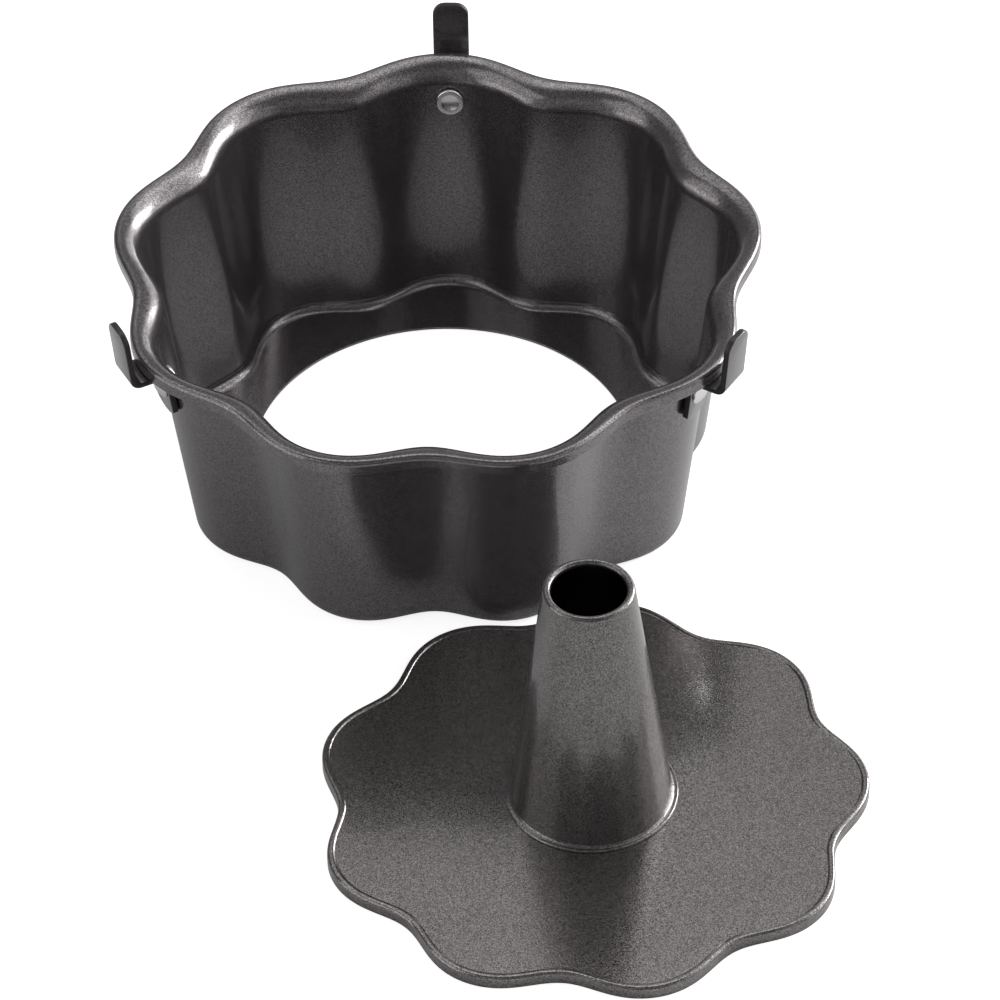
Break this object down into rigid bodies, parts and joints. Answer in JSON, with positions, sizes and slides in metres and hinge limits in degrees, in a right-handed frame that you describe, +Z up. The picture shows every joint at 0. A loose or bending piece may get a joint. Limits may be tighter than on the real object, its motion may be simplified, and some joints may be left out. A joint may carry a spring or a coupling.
{
  "type": "angel food cake pan",
  "caption": "Lobed angel food cake pan with legs on its rim, its base plate and centre tube taken out and stood in front.",
  "frame": {"origin": "centre of the round opening in the body's floor, on the surface that the body stands on", "axes": "+Z up along the body's axis, +Y from the body's centre to its back leg, +X to the right; the insert stands in front, towards -Y"},
  "size_m": [0.2711, 0.4091, 0.1129],
  "materials": {
    "coated_sheet": "satin speckled non-stick",
    "leg_strip": "satin coated strip with dark cut edges",
    "rivet": "bright"
  },
  "bodies": {
    "pan": {"pan_shell": "coated_sheet", "back_leg": "leg_strip", "left_leg": "leg_strip", "right_leg": "leg_strip", "back_rivet": "rivet", "left_rivet": "rivet", "right_rivet": "rivet"},
    "insert": {"base_plate": "coated_sheet", "centre_tube": "coated_sheet"}
  },
  "joints": [
    {"name": "insert_lift", "type": "slide", "parent": "pan", "child": "insert", "axis": [0.0692, -0.2318, 0.9703], "range_m": [0, 0.12]}
  ]
}
